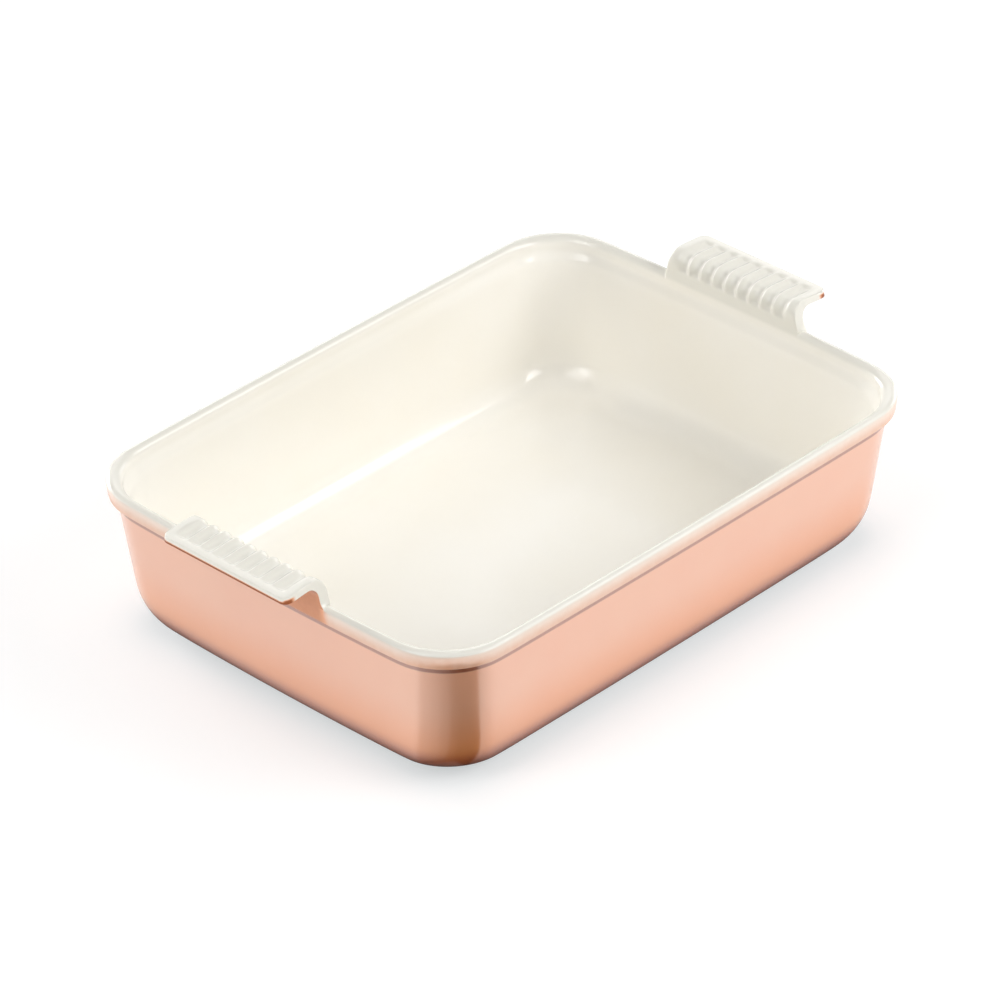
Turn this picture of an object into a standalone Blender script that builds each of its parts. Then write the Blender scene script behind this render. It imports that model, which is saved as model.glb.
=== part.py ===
"""A rectangular stoneware lasagna dish: fired clay, its three glazed areas and two fluted lug handles.

The dish stands on the XY plane, centred on the origin, with its length along X and +Z up.
Every level of the dish is one rounded, slightly bowed rectangle, so a profile is a list of
points (inset, z): how far in from the rim's outer edge, and how high.
"""

import bmesh
import bpy
from math import cos, pi, radians, sin, tan

# Sizes of the whole dish, in metres
RIM_LENGTH = 0.3250
RIM_WIDTH = 0.2410
RIM_HEIGHT = 0.0813
CORNER_RADIUS = 0.0330
CORNER_TIGHTENING = 0.27  # how much of an inset the corner radius loses
SHORT_SIDE_BOW = 0.0024
LONG_SIDE_BOW = 0.0010

# Rim band, the thick strip that runs round the top
BAND_HEIGHT = 0.0083
BAND_OVERHANG = 0.0034
BAND_TAPER = 0.0004
BAND_LOWER_RADIUS = 0.0010
RIM_THICKNESS = 0.0052
RIM_INNER_RADIUS = 0.0018
RIM_OUTER_RADIUS = 0.0021
FLARE_HEIGHT = 0.0095

# Walls and floor
WALL_LEAN = radians(6.2)
WALL_THICKNESS = 0.0050
FLOOR_THICKNESS = 0.0055
INSIDE_FILLET = 0.0150
BASE_FILLET_ACROSS = 0.0185
BASE_FILLET_UP = 0.0225

# Foot ring, which is left bare
FOOT_HEIGHT = 0.0015
FOOT_WIDTH = 0.0050
FOOT_SETBACK = 0.0010
FOOT_CHAMFER = 0.0004

# Glaze coats, which stand off the clay by the same gap all over
GLAZE_THICKNESS = 0.0007
GLAZE_GAP = 0.0003

# Lug handles, measured from the rim's outer edge and top
HANDLE_WIDTH = 0.0780  # over its ends, at the height of its top
HANDLE_REACH = 0.0188
HANDLE_RISE = 0.0140
HANDLE_BEND = 0.0075
HANDLE_DROOP = 0.0014  # how much lower the grip's top is at its tip
GRIP_THICKNESS = 0.0034
RISER_THICKNESS = 0.0058
COVE_RADIUS = 0.0050  # the hollow under the grip, for the fingertips
HANDLE_TIP_RADIUS = 0.0015
HANDLE_CORNER_RADIUS = 0.0040
HANDLE_END_LEAN = radians(14)
HANDLE_END_RADIUS = 0.0022
HANDLE_ROOT_FILLET = 0.0070
HANDLE_SEAT_DEPTH = 0.0032
SEAT_GAP = 0.0003
NEARLY_LEVEL = radians(75)  # where the rounding of a lug's end meets its top

# Flutes of the handles' grip
FLUTE_PITCH = 0.0076
FLUTE_WIDTH = 0.0064
FLUTE_DEPTH = 0.0013
FLUTE_END_LIFT = 0.0002  # how far a flute's cutter stands off the grip at its two ends
FLUTE_END_MARGIN = 0.0085
FLUTE_START_HEIGHT = 0.0045
FLUTE_RUN_OUT = 0.0035
FLUTE_LIP = 0.0045

# How far a cutter runs past what it cuts
CUTTER_REACH = 0.0060

# Steps of the curves
CORNER_STEPS = 7
LONG_SIDE_STEPS = 6
SHORT_SIDE_STEPS = 4
FILLET_STEPS = 6
EDGE_STEPS = 3
FLARE_STEPS = 4
FLUTE_STEPS = 6

# Heights and insets that follow from the sizes
BAND_BOTTOM = RIM_HEIGHT - BAND_HEIGHT
FLOOR_TOP = FOOT_HEIGHT + FLOOR_THICKNESS
FILLET_TOP = FOOT_HEIGHT + BASE_FILLET_UP
COAT = GLAZE_THICKNESS + GLAZE_GAP


def clear_scene():
    for obj in list(bpy.data.objects):
        bpy.data.objects.remove(obj, do_unlink=True)


def material(name, colour, roughness):
    made = bpy.data.materials.new(name)
    made.use_nodes = True
    shader = made.node_tree.nodes["Principled BSDF"]
    shader.inputs["Base Color"].default_value = (*colour, 1.0)
    shader.inputs["Roughness"].default_value = roughness
    shader.inputs["Metallic"].default_value = 0.0
    made.diffuse_color = (*colour, 1.0)
    return made


def wall_inset(z):
    """The outer wall's inset at a height between the base fillet and the band."""
    return BAND_OVERHANG + (BAND_BOTTOM - z) * tan(WALL_LEAN)


def corner_arc(centre, radius, start, end, steps):
    """Points (inset, z) on an arc, both ends included; the angles are in radians."""
    return [
        (
            centre[0] + radius * cos(start + (end - start) * k / steps),
            centre[1] + radius * sin(start + (end - start) * k / steps),
        )
        for k in range(steps + 1)
    ]


def plan_loop(inset, z):
    """One level of the dish: a rounded rectangle whose four sides bow outwards."""
    half_x = RIM_LENGTH / 2 - inset
    half_y = RIM_WIDTH / 2 - inset
    radius = CORNER_RADIUS - CORNER_TIGHTENING * inset
    flat = []
    corners = ((1, -1, -90), (1, 1, 0), (-1, 1, 90), (-1, -1, 180))
    for index, (side_x, side_y, first) in enumerate(corners):
        centre_x = side_x * (half_x - radius)
        centre_y = side_y * (half_y - radius)
        for k in range(CORNER_STEPS + 1):
            angle = radians(first + 90 * k / CORNER_STEPS)
            flat.append((centre_x + radius * cos(angle), centre_y + radius * sin(angle)))
        along_y = index % 2 == 0
        steps = SHORT_SIDE_STEPS if along_y else LONG_SIDE_STEPS
        run = 2 * ((half_y if along_y else half_x) - radius)
        start_x, start_y = flat[-1]
        for k in range(1, steps):
            step = run * k / steps
            if along_y:
                flat.append((start_x, start_y - side_y * step))
            else:
                flat.append((start_x - side_x * step, start_y))
    return [
        (
            x - SHORT_SIDE_BOW * (x / half_x) * (y / half_y) ** 2,
            y - LONG_SIDE_BOW * (y / half_y) * (x / half_x) ** 2,
            z,
        )
        for x, y in flat
    ]


def inside_profile():
    """The glazed surface from the floor, up the inner wall, over the rim and down the band."""
    centre_z = FLOOR_TOP + INSIDE_FILLET
    wall_z = centre_z - INSIDE_FILLET * sin(WALL_LEAN)
    centre_inset = wall_inset(wall_z) + WALL_THICKNESS + INSIDE_FILLET * cos(WALL_LEAN)
    points = corner_arc((centre_inset, centre_z), INSIDE_FILLET, 1.5 * pi, pi + WALL_LEAN, FILLET_STEPS)

    low_z = RIM_HEIGHT - RIM_INNER_RADIUS - FLARE_HEIGHT
    low_inset = wall_inset(low_z) + WALL_THICKNESS
    for k in range(FLARE_STEPS):
        share = k / FLARE_STEPS
        eased = (1 - cos(pi * share)) / 2
        straight = low_inset - FLARE_HEIGHT * share * tan(WALL_LEAN)
        points.append((straight + (RIM_THICKNESS - straight) * eased, low_z + FLARE_HEIGHT * share))

    inner = (RIM_THICKNESS - RIM_INNER_RADIUS, RIM_HEIGHT - RIM_INNER_RADIUS)
    outer = (RIM_OUTER_RADIUS, RIM_HEIGHT - RIM_OUTER_RADIUS)
    lower = (BAND_TAPER + BAND_LOWER_RADIUS, BAND_BOTTOM + BAND_LOWER_RADIUS)
    points += corner_arc(inner, RIM_INNER_RADIUS, 0, pi / 2, EDGE_STEPS)
    points += corner_arc(outer, RIM_OUTER_RADIUS, pi / 2, pi, EDGE_STEPS)
    points += corner_arc(lower, BAND_LOWER_RADIUS, pi, 1.5 * pi, EDGE_STEPS)
    return points


def base_fillet(top_inset, top_z, across, up):
    """A quarter ellipse that leaves the wall along its lean and ends level."""
    points = []
    for k in range(FILLET_STEPS + 1):
        turn = pi / 2 * k / FILLET_STEPS
        lean = tan(WALL_LEAN) * up * sin(turn) * cos(turn)
        points.append((top_inset + across * (1 - cos(turn)) + lean, top_z - up * sin(turn)))
    return points


def outside_profile(coat_depth):
    """The outer wall and the base's fillet, sunk below the glazed surface by coat_depth."""
    top_inset = wall_inset(FILLET_TOP) + coat_depth
    across = BASE_FILLET_ACROSS - coat_depth
    return base_fillet(top_inset, FILLET_TOP, across, BASE_FILLET_UP - coat_depth)


def sunk(points, depth):
    """The profile moved by depth to its right, which is into the clay."""
    moved = []
    for k, (inset, z) in enumerate(points):
        before = points[max(k - 1, 0)]
        after = points[min(k + 1, len(points) - 1)]
        normals = []
        for start, end in ((before, (inset, z)), ((inset, z), after)):
            run, rise = end[0] - start[0], end[1] - start[1]
            length = (run * run + rise * rise) ** 0.5
            if length > 1e-9:
                normals.append((rise / length, -run / length))
        across = sum(n[0] for n in normals) / len(normals)
        up = sum(n[1] for n in normals) / len(normals)
        share = depth / (across * across + up * up)
        moved.append((inset - across * share, z - up * share))
    return moved


def loft(name, rings, ring_closed):
    """A closed mesh through rings of equal length: joined end to end, or capped at both ends."""
    mesh = bpy.data.meshes.new(name)
    shape = bmesh.new()
    rows = [[shape.verts.new(point) for point in ring] for ring in rings]
    pairs = list(zip(rows, rows[1:]))
    if ring_closed:
        pairs.append((rows[-1], rows[0]))
    else:
        shape.faces.new(rows[0])
        shape.faces.new(rows[-1])
    count = len(rows[0])
    for low, high in pairs:
        for k in range(count):
            following = (k + 1) % count
            shape.faces.new((low[k], low[following], high[following], high[k]))
    bmesh.ops.recalc_face_normals(shape, faces=shape.faces)
    shape.to_mesh(mesh)
    shape.free()
    return mesh


def add(name, mesh, finish):
    obj = bpy.data.objects.new(name, mesh)
    bpy.context.scene.collection.objects.link(obj)
    mesh.materials.append(finish)
    mesh.shade_smooth()
    mesh.set_sharp_from_angle(angle=radians(35))
    return obj


def add_cutter(name, mesh):
    obj = bpy.data.objects.new(name, mesh)
    bpy.context.scene.collection.objects.link(obj)
    obj.hide_render = True
    obj.display_type = "WIRE"
    return obj


def boolean(obj, cutter, operation):
    step = obj.modifiers.new(f"{operation.lower()} {cutter.name}", "BOOLEAN")
    step.operation = operation
    step.solver = "EXACT"
    step.object = cutter
    return step


def foot_insets():
    """The foot ring's outer and inner insets, where the base's fillet has ended."""
    outer = wall_inset(FILLET_TOP) + BASE_FILLET_ACROSS + FOOT_SETBACK
    return outer, outer + FOOT_WIDTH


def build_clay(finish):
    """Floor, walls, rim and foot ring: one fired casting, with the glaze's room taken off."""
    inner = sunk(inside_profile(), COAT)
    lower_edge = inner[-1][1]
    wall = outside_profile(COAT)
    foot_outer, foot_inner = foot_insets()
    base = FOOT_HEIGHT + COAT
    foot = [
        (foot_outer, base),
        (foot_outer, FOOT_CHAMFER),
        (foot_outer + FOOT_CHAMFER, 0.0),
        (foot_inner - FOOT_CHAMFER, 0.0),
        (foot_inner, FOOT_CHAMFER),
        (foot_inner, base),
    ]
    under_band = [(wall_inset(lower_edge) + COAT, lower_edge)]
    profile = inner + under_band + wall + foot
    mesh = loft("stoneware_body", [plan_loop(*point) for point in profile], False)
    return add("stoneware_body", mesh, finish)


def build_inner_glaze(finish):
    """One coat over the floor, the inner wall, the rim's top and the band."""
    face = inside_profile()
    back = sunk(face, GLAZE_THICKNESS)
    end = BAND_OVERHANG + GLAZE_THICKNESS
    edge = [(end, face[-1][1]), (end, back[-1][1])]
    profile = face + edge + back[::-1]
    mesh = loft("inner_glaze", [plan_loop(*point) for point in profile], False)
    return add("inner_glaze", mesh, finish)


def build_outer_glaze(finish):
    """The coloured coat from below the band to the end of the base's fillet."""
    top = BAND_BOTTOM - GLAZE_GAP
    face = [(wall_inset(top), top)] + outside_profile(0.0)
    back = [(wall_inset(top) + GLAZE_THICKNESS, top)] + outside_profile(GLAZE_THICKNESS)
    profile = face + back[::-1]
    mesh = loft("outer_glaze", [plan_loop(*point) for point in profile], True)
    return add("outer_glaze", mesh, finish)


def build_base_glaze(finish):
    """The glazed panel under the floor, inside the bare foot ring."""
    edge = foot_insets()[1] + GLAZE_GAP
    profile = [(edge, FOOT_HEIGHT), (edge, FOOT_HEIGHT + GLAZE_THICKNESS)]
    mesh = loft("base_glaze", [plan_loop(*point) for point in profile], False)
    return add("base_glaze", mesh, finish)


def grip_top(x):
    """The height of the grip's top, which slopes down from the bend to the tip."""
    bend_end = HANDLE_BEND - RIM_THICKNESS
    tip_start = HANDLE_REACH - HANDLE_TIP_RADIUS
    return HANDLE_RISE - HANDLE_DROOP * (x - bend_end) / (tip_start - bend_end)


def handle_side_outline():
    """The lug seen from its end: x out from the rim's outer edge, z up from its top."""
    inner = -RIM_THICKNESS
    outline = [(0.0, -HANDLE_SEAT_DEPTH), (inner, -HANDLE_SEAT_DEPTH)]
    bend = (inner + HANDLE_BEND, HANDLE_RISE - HANDLE_BEND)
    outline += corner_arc(bend, HANDLE_BEND, pi, pi / 2, 2 * FILLET_STEPS)
    tip_x = HANDLE_REACH - HANDLE_TIP_RADIUS
    upper_tip = (tip_x, grip_top(tip_x) - HANDLE_TIP_RADIUS)
    outline += corner_arc(upper_tip, HANDLE_TIP_RADIUS, pi / 2, 0, EDGE_STEPS)
    lower_tip = (tip_x, grip_top(tip_x) - GRIP_THICKNESS + HANDLE_TIP_RADIUS)
    outline += corner_arc(lower_tip, HANDLE_TIP_RADIUS, 0, -pi / 2, EDGE_STEPS)
    cove_x = inner + RISER_THICKNESS + COVE_RADIUS
    cove = (cove_x, grip_top(cove_x) - GRIP_THICKNESS - COVE_RADIUS)
    outline += corner_arc(cove, COVE_RADIUS, pi / 2, pi, FILLET_STEPS)
    outline.append((0.0, -RIM_OUTER_RADIUS))
    return outline


def handle_foot():
    """How far from the lug's middle its root fillet runs out along the rim."""
    fillet_top = HANDLE_ROOT_FILLET * (1 - sin(HANDLE_END_LEAN))
    end_there = HANDLE_WIDTH / 2 + (HANDLE_RISE - fillet_top) * tan(HANDLE_END_LEAN)
    return end_there + HANDLE_ROOT_FILLET * cos(HANDLE_END_LEAN)


def handle_front_outline(inset):
    """The lug seen along X: a root fillet, a leaning end and a rounded top corner on each side."""
    foot = handle_foot()
    lean = HANDLE_END_LEAN
    side = [(foot, -HANDLE_SEAT_DEPTH - CUTTER_REACH)]
    root = (foot, HANDLE_ROOT_FILLET)
    side += corner_arc(root, HANDLE_ROOT_FILLET, -pi / 2, lean - pi, FILLET_STEPS)
    corner_z = HANDLE_RISE - HANDLE_END_RADIUS
    corner_y = HANDLE_WIDTH / 2 + (HANDLE_END_RADIUS * sin(lean) - HANDLE_END_RADIUS) / cos(lean)
    side += corner_arc((corner_y, corner_z), HANDLE_END_RADIUS, lean, NEARLY_LEVEL, EDGE_STEPS)
    side.append((0.0, HANDLE_RISE + CUTTER_REACH))
    half = [(max(y - inset, 0.0), z) for y, z in side]
    return half + [(-y, z) for y, z in reversed(half[:-1])]


def flute_path():
    """Points (x, z) with outward normals, up the grip's inner face, round its bend and over its top."""
    inner = -RIM_THICKNESS
    bend = (inner + HANDLE_BEND, HANDLE_RISE - HANDLE_BEND)
    last = HANDLE_REACH - FLUTE_LIP
    path = []
    for k in range(FLUTE_STEPS // 2 + 1):
        share = k / (FLUTE_STEPS // 2)
        path.append(((inner, FLUTE_START_HEIGHT + (bend[1] - FLUTE_START_HEIGHT) * share), (-1.0, 0.0)))
    for k in range(1, FLUTE_STEPS + 1):
        angle = pi - pi / 2 * k / FLUTE_STEPS
        normal = (cos(angle), sin(angle))
        path.append(((bend[0] + HANDLE_BEND * normal[0], bend[1] + HANDLE_BEND * normal[1]), normal))
    for k in range(1, FLUTE_STEPS + 1):
        x = bend[0] + (last - bend[0]) * k / FLUTE_STEPS
        path.append(((x, grip_top(x)), (0.0, 1.0)))
    return path


def flute_stations():
    """The flute's path with the depth at each point, which fades out towards both ends."""
    path = flute_path()
    travelled = [0.0]
    for (here, _), (following, _) in zip(path, path[1:]):
        step = ((following[0] - here[0]) ** 2 + (following[1] - here[1]) ** 2) ** 0.5
        travelled.append(travelled[-1] + step)
    stations = []
    for (point, normal), distance in zip(path, travelled):
        from_end = min(distance, travelled[-1] - distance)
        share = sin(pi / 2 * min(1.0, from_end / FLUTE_RUN_OUT))
        stations.append((point, normal, (FLUTE_DEPTH + FLUTE_END_LIFT) * share - FLUTE_END_LIFT))
    return stations


def flute_cutter(y):
    """The rings of one flute's cutter, whose lower side sinks into the grip."""
    rings = []
    for (x, z), (out_x, out_z), depth in flute_stations():
        ring = []
        for k in range(FLUTE_STEPS + 1):
            across = -1 + 2 * k / FLUTE_STEPS
            sink = depth * (1 - across * across)
            ring.append((x - out_x * sink, y + across * FLUTE_WIDTH / 2, z - out_z * sink))
        for across in (1, -1):
            beyond = y + across * FLUTE_WIDTH / 2
            ring.append((x + out_x * FLUTE_DEPTH, beyond, z + out_z * FLUTE_DEPTH))
        rings.append(ring)
    return rings


def flute_places():
    """Flute centres across the grip, as many as fit between its end margins."""
    room = HANDLE_WIDTH - 2 * FLUTE_END_MARGIN
    gaps = int(room / FLUTE_PITCH + 1e-6)
    return [FLUTE_PITCH * (k - gaps / 2) for k in range(gaps + 1)]


def joined_loft(name, ring_lists):
    """One mesh that holds a capped loft for each list of rings."""
    mesh = bpy.data.meshes.new(name)
    shape = bmesh.new()
    for rings in ring_lists:
        single = loft(name + "_one", rings, False)
        shape.from_mesh(single)
        bpy.data.meshes.remove(single)
    shape.to_mesh(mesh)
    shape.free()
    return mesh


def handle_mesh():
    """The lug's side outline drawn across the whole root."""
    foot = handle_foot()
    outline = handle_side_outline()
    return loft("lug", [[(x, y, z) for x, z in outline] for y in (-foot, foot)], False)


def handle_front_mesh():
    """The front outline drawn along X and drawn in round the tip's corners."""
    radius = HANDLE_CORNER_RADIUS
    centre_x = HANDLE_REACH - radius
    stations = [(-RIM_THICKNESS - CUTTER_REACH, 0.0)]
    for k in range(FILLET_STEPS + 1):
        turn = pi / 2 * k / FILLET_STEPS
        stations.append((centre_x + radius * sin(turn), radius * (1 - cos(turn))))
    stations.append((HANDLE_REACH + CUTTER_REACH, radius))
    rings = [[(x, y, z) for y, z in handle_front_outline(inset)] for x, inset in stations]
    return loft("lug_front", rings, False)


def build_handle(name, side, finish):
    """One lug on the rim's short side, +1 or -1 along X."""
    handle = add(name, handle_mesh(), finish)
    front = add_cutter(name + "_front_outline", handle_front_mesh())
    flutes = add_cutter(name + "_flutes", joined_loft("flutes", [flute_cutter(y) for y in flute_places()]))
    for obj in (handle, front, flutes):
        obj.location = (side * RIM_LENGTH / 2, 0.0, RIM_HEIGHT)
        obj.rotation_euler = (0.0, 0.0, 0.0 if side > 0 else pi)
    boolean(handle, front, "INTERSECT")
    boolean(handle, flutes, "DIFFERENCE")
    return handle


def seat_cutter():
    """The room for both lugs' roots, cut out of the rim's clay and glaze."""
    half = handle_foot() + SEAT_GAP
    low = -HANDLE_SEAT_DEPTH - SEAT_GAP + RIM_HEIGHT
    high = RIM_HEIGHT + CUTTER_REACH
    lists = []
    for side in (-1, 1):
        inner = side * (RIM_LENGTH / 2 - RIM_THICKNESS - CUTTER_REACH)
        outer = side * (RIM_LENGTH / 2 + CUTTER_REACH)
        plan = [(inner, -half), (outer, -half), (outer, half), (inner, half)]
        lists.append([[(x, y, z) for x, y in plan] for z in (low, high)])
    return add_cutter("handle_seats", joined_loft("handle_seats", lists))


def main():
    clear_scene()
    clay = material("fired stoneware", (0.80, 0.72, 0.62), 0.85)
    cream = material("cream glaze", (0.86, 0.82, 0.73), 0.12)
    peach = material("peach glaze", (0.83, 0.42, 0.27), 0.22)
    body = build_clay(clay)
    inner = build_inner_glaze(cream)
    build_outer_glaze(peach)
    build_base_glaze(peach)
    seats = seat_cutter()
    boolean(body, seats, "DIFFERENCE")
    boolean(inner, seats, "DIFFERENCE")
    build_handle("right_handle", 1, cream)
    build_handle("left_handle", -1, cream)


main()
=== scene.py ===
"""The looks of a stoneware lasagna dish: its glazes, its two fluted lug handles and a plain studio.

The dish stands on the XY plane, centred on the origin, with its length along X and +Z up. The
whole dish is drawn as one form, ring by ring, so that the handles flow into the rim, and is then
parted along its glaze lines into the pieces that stand for the solids of the frame.
"""

from math import cos, pi, radians, sin, tan

import bmesh
import bpy
from mathutils import Matrix, Vector


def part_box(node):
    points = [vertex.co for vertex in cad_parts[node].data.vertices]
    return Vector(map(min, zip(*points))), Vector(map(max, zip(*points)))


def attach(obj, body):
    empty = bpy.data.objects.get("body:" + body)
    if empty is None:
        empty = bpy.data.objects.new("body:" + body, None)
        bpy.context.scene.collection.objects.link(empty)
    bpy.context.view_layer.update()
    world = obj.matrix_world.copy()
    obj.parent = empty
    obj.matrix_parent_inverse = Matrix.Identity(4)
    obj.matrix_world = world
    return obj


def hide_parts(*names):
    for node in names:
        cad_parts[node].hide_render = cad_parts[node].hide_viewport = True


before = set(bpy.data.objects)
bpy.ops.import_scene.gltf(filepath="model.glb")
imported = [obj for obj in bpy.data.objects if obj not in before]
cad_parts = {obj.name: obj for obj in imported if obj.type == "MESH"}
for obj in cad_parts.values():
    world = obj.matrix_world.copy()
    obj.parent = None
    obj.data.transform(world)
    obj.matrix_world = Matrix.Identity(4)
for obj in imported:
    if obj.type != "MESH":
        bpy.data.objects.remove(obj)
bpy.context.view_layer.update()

bl_info = {
    "name": "Lasagna dish",
    "version": (1, 0, 0),
    "blender": (4, 5, 0),
    "location": "3D View > Sidebar > Dish",
    "description": "Models a glazed stoneware lasagna dish with fluted lug handles",
    "category": "Object",
}

DISH_BODY = "root"

# The rim's outline and height come from the frame, whose cream coat is this thick
GLAZE_LOW, GLAZE_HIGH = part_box("inner_glaze")
PANEL_LOW, PANEL_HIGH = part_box("base_glaze")
HANDLE_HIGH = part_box("right_handle")[1]
FRAME_COAT = 0.0007

# Columns and steps of the cage, and how often it is smoothed
CORNER_SEGMENTS = 8
LONG_SIDE_CUTS = 7
EDGE_STEPS = 2
BEND_STEPS = 4
FILLET_STEPS = 6
SMOOTHING_LEVELS = 2
CLAY_SMOOTHING_LEVELS = 1
SMALL = 1e-5

# A point at least this far across the rim belongs to a lug's upper side
UPPER_SIDE = 0.999

# A face is flat to an axis where its normal follows it this nearly
FLAT = 0.99

# A face whose normal rises by more than the first looks into the dish, and one whose normal
# falls by more than the second lies flat beneath it
RISES = 0.3
FALLS = -0.9

# Rings that hold the form: up the flare, in from the inside fillet, down from the band, up from
# the base's fillet, out from that fillet to the foot ring, and in from the panel's edge
FLARE_SHARES = (0.75, 0.5, 0.25, 0.0)
FLOOR_RINGS = (0.006, 0.020, 0.045)
BELOW_BAND = 0.010
ABOVE_FILLET = 0.006
FOOT_LEDGE = 0.0008
PANEL_RINGS = (0.0, 0.004, 0.030)

# A lug's lowest height over the rim, the cut between its last flute and its end, as a share of
# that way, and the cuts past its foot
LUG_FOOT = 0.0003
END_CUT = 0.55
RUN_OUT_CUTS = (0.002, 0.012)

# How far inside the rim the faces under a lug may reach
ROOT_MARGIN = 0.002

# Rings at a lug's root: the inner side's height, how far the outer side has come out towards the
# riser's outer face, and its height
ROOT_RINGS = ((0.0009, 0.4, 0.0002), (0.0023, 0.8, 0.0014), (0.0042, 1.0, 0.0032))

# Where rings cross the grip, past the rim's edge, and the rounded corners, as shares of their radius
GRIP_RINGS = (0.0095, 0.0121)
TIP_SHARES = (0.55, 0.85, 1.0)

# The flutes' first and last ring, how deep a flute's floor lies at its end, one ring further and
# from there on, and how wide its floor is at its end
FIRST_FLUTE_RING = 3
LAST_FLUTE_RING = 11
FLUTE_RUN_OUT = (0.25, 0.8, 1.0)
FLUTE_END_WIDTH = 0.55

# How many coats deep the clay lies under the glazed surface
CLAY_CLEARANCE = 1.5

# An edge sharper than this stays crisp
CRISP_ANGLE = radians(50)

# Where the sprayed peach comes in or gives way: by how far a face looks out and down, by the way
# past a lug's end and up a lug's section; and where the painted shade on a lug's tip edge gives way,
# by how far a face looks down and by how far it looks along
FACING_SPRAY = (0.25, 0.9)
PAST_LUG = (0.001, 0.008)
UP_LUG = (0.05, 0.5)
LOOKING_DOWN = (0.55, 0.9)
LOOKING_ALONG = (0.3, 0.8)

# Shares of the lug's edge at which its painted shade starts and stops fading, and how much higher
# both lie on the lug's ends
EDGE_SHADE_FADE = (0.8, 1.3)
END_FADE_RISE = (0.3, 0.9)

# How much more peach gathers in the hollow under a lug than on its riser, where past full peach it is
# painted shade, and from where to where that comes in, by how far a face looks down
LUG_CROWN_SHADE = 0.25
CROWN = (0.1, 0.7)

# A glaze is a glass, but a lustre glaze reflects more than plain glass does
GLAZE_IOR = 1.5
LUSTRE_IOR = 2.6

# How much of the peach glaze's body shines like a metal, and how rough its glassy surface is
LUSTRE = 0.35
LUSTRE_ROUGHNESS = 0.17

# The values between which nearly all of the clouds lie
CLOUDS = (0.3, 0.7)

# The second shade of each colour that varies, as shares of the first
WARM_SHADE = (0.985, 0.975, 0.95)
ROSY_SHADE = (1.0, 0.94, 0.92)
DARK_SHADE = (0.8, 0.8, 0.8)

# How deep under the rim's top the cream's painted shade is full
TOP_SHADE_DEPTH = 0.0004

# Heights between which the painted shade at the rounded base gives way to the wall's peach
FOOT_SHADE_LOW = 0.012
FOOT_SHADE_TOP = 0.0225

# Heights between which the peach of the wall lightens
OMBRE_FOOT = 0.014
OMBRE_TOP = 0.052

# The share of the bead under the band that has its full colour; the bead is partly pooled glaze and partly
# painted shade
BEAD_CORE = 0.8


def length(name, description, default):
    """A size in metres that the user can change."""
    return bpy.props.FloatProperty(name=name, description=description, default=default, unit="LENGTH")


def angle(name, description, degrees):
    """An angle that the user can change."""
    return bpy.props.FloatProperty(
        name=name, description=description, default=radians(degrees), unit="ROTATION",
    )


def fraction(name, description, default, most=1):
    """A share that the user can change."""
    return bpy.props.FloatProperty(name=name, description=description, default=default, min=0, max=most)


def tint(name, description, default):
    """A scene-linear colour that the user can change."""
    return bpy.props.FloatVectorProperty(
        name=name, description=description, default=default, subtype="COLOR", size=3, min=0, max=1,
    )


class DishSizes(bpy.types.PropertyGroup):
    """Sizes of the dish without its handles."""

    rim_length: length("Rim length", "Length over the rim band", GLAZE_HIGH[0] - GLAZE_LOW[0])
    rim_width: length("Rim width", "Width over the rim band", GLAZE_HIGH[1] - GLAZE_LOW[1])
    rim_height: length("Rim height", "Height of the rim's top above the table", GLAZE_HIGH[2])
    corner_radius: length("Corner radius", "Radius of the rim's four corners in plan", 0.033)
    short_side_bow: length("Short side bow", "How far each short side bows outwards", 0.0024)
    long_side_bow: length("Long side bow", "How far each long side bows outwards", 0.0010)
    band_height: length("Band height", "Height of the thick strip round the rim", 0.0083)
    band_overhang: length("Band overhang", "How far the band stands out over the wall", 0.0034)
    band_taper: length("Band taper", "How much the band draws in towards its lower edge", 0.0004)
    band_lower_radius: length("Band lower radius", "Rounding of the band's lower edge", 0.0010)
    rim_thickness: length("Rim thickness", "Thickness of the rim at its top", 0.0058)
    rim_inner_radius: length("Rim inner radius", "Rounding of the rim's inner edge", 0.0032)
    rim_outer_radius: length("Rim outer radius", "Rounding of the rim's outer edge", 0.0021)
    flare_height: length("Flare height", "Height over which the inner wall opens into the rim", 0.0095)
    wall_lean: angle("Wall lean", "Lean of the walls away from upright", 6.2)
    wall_thickness: length("Wall thickness", "Thickness of the walls with their glaze", 0.0050)
    floor_top: length(
        "Inside floor", "Height of the inside floor above the table", GLAZE_LOW[2] + FRAME_COAT,
    )
    inside_fillet: length("Inside fillet", "Radius between the inner wall and the floor", 0.0150)
    base_fillet_across: length("Base fillet across", "Reach of the rounded base edge inwards", 0.0185)
    base_fillet_up: length("Base fillet up", "Reach of the rounded base edge up the wall", 0.0225)
    foot_height: length("Foot height", "Height of the bare foot ring", PANEL_LOW[2])
    foot_edge: length("Foot edge", "Rounding of the foot ring's lower edges", 0.0004)
    panel_margin: length(
        "Panel margin", "Inset of the glazed panel inside the foot ring", GLAZE_HIGH[0] - PANEL_HIGH[0],
    )
    coat: length("Glaze coat", "Thickness of each coat of glaze", 0.0006)


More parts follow.
